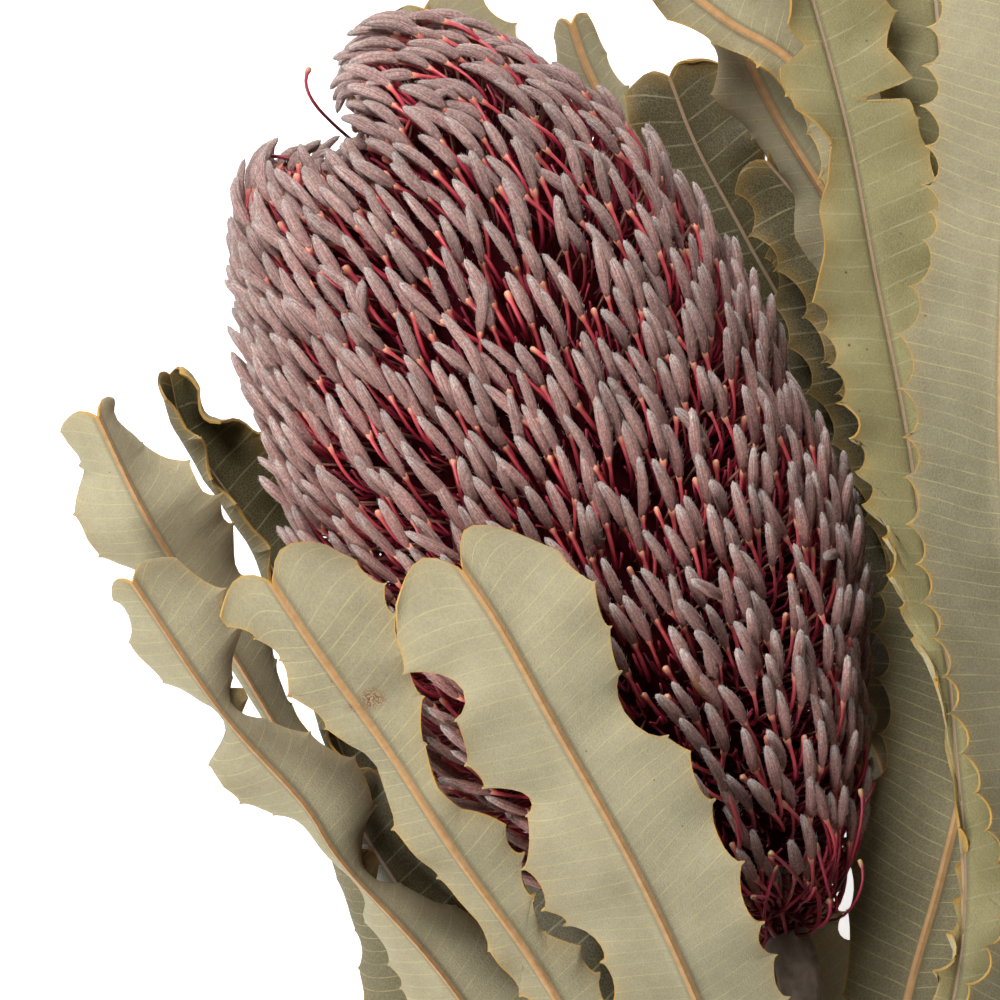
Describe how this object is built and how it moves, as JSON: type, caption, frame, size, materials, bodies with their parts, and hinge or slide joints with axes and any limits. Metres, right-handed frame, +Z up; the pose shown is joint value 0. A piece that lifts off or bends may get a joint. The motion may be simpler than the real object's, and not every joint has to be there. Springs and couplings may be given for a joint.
{
  "type": "dried banksia stem",
  "caption": "Dried cut stem with one large cylindrical flower spike of fuzzy florets and long toothed leaves round it, lying on its side.",
  "frame": {"origin": "on the flat underside of the resting leaf, below the thickest part of the flower spike", "axes": "+X along the spike from the stem to the tip, +Z up from the surface that the stem lies on"},
  "size_m": [0.277, 0.1544, 0.0764],
  "materials": {
    "dried_bark": "matte grey-brown bark",
    "floret_fuzz": "grey-mauve felt over crimson",
    "leaf_underside": "matte grey-green felt",
    "leaf_upper_side": "dull olive"
  },
  "bodies": {
    "root": {"stem": "dried_bark", "flower_spike": "floret_fuzz", "leaf_front": "leaf_underside", "leaf_front_left": "leaf_underside", "leaf_left_twisted": "leaf_underside", "leaf_left_between": "leaf_upper_side", "leaf_left_upper": "leaf_underside", "leaf_left_dark": "leaf_upper_side", "leaf_resting": "leaf_underside", "leaf_right_shaded": "leaf_underside", "leaf_right_large": "leaf_underside", "leaf_right_olive": "leaf_upper_side", "leaf_right_inner": "leaf_underside", "leaf_behind_crossing": "leaf_underside", "leaf_behind_pale": "leaf_underside", "leaf_behind_torn": "leaf_underside", "leaf_behind_narrow": "leaf_underside", "leaf_behind_low": "leaf_underside", "leaf_behind_lobed": "leaf_underside", "leaf_behind_tip": "leaf_underside"}
  },
  "joints": []
}
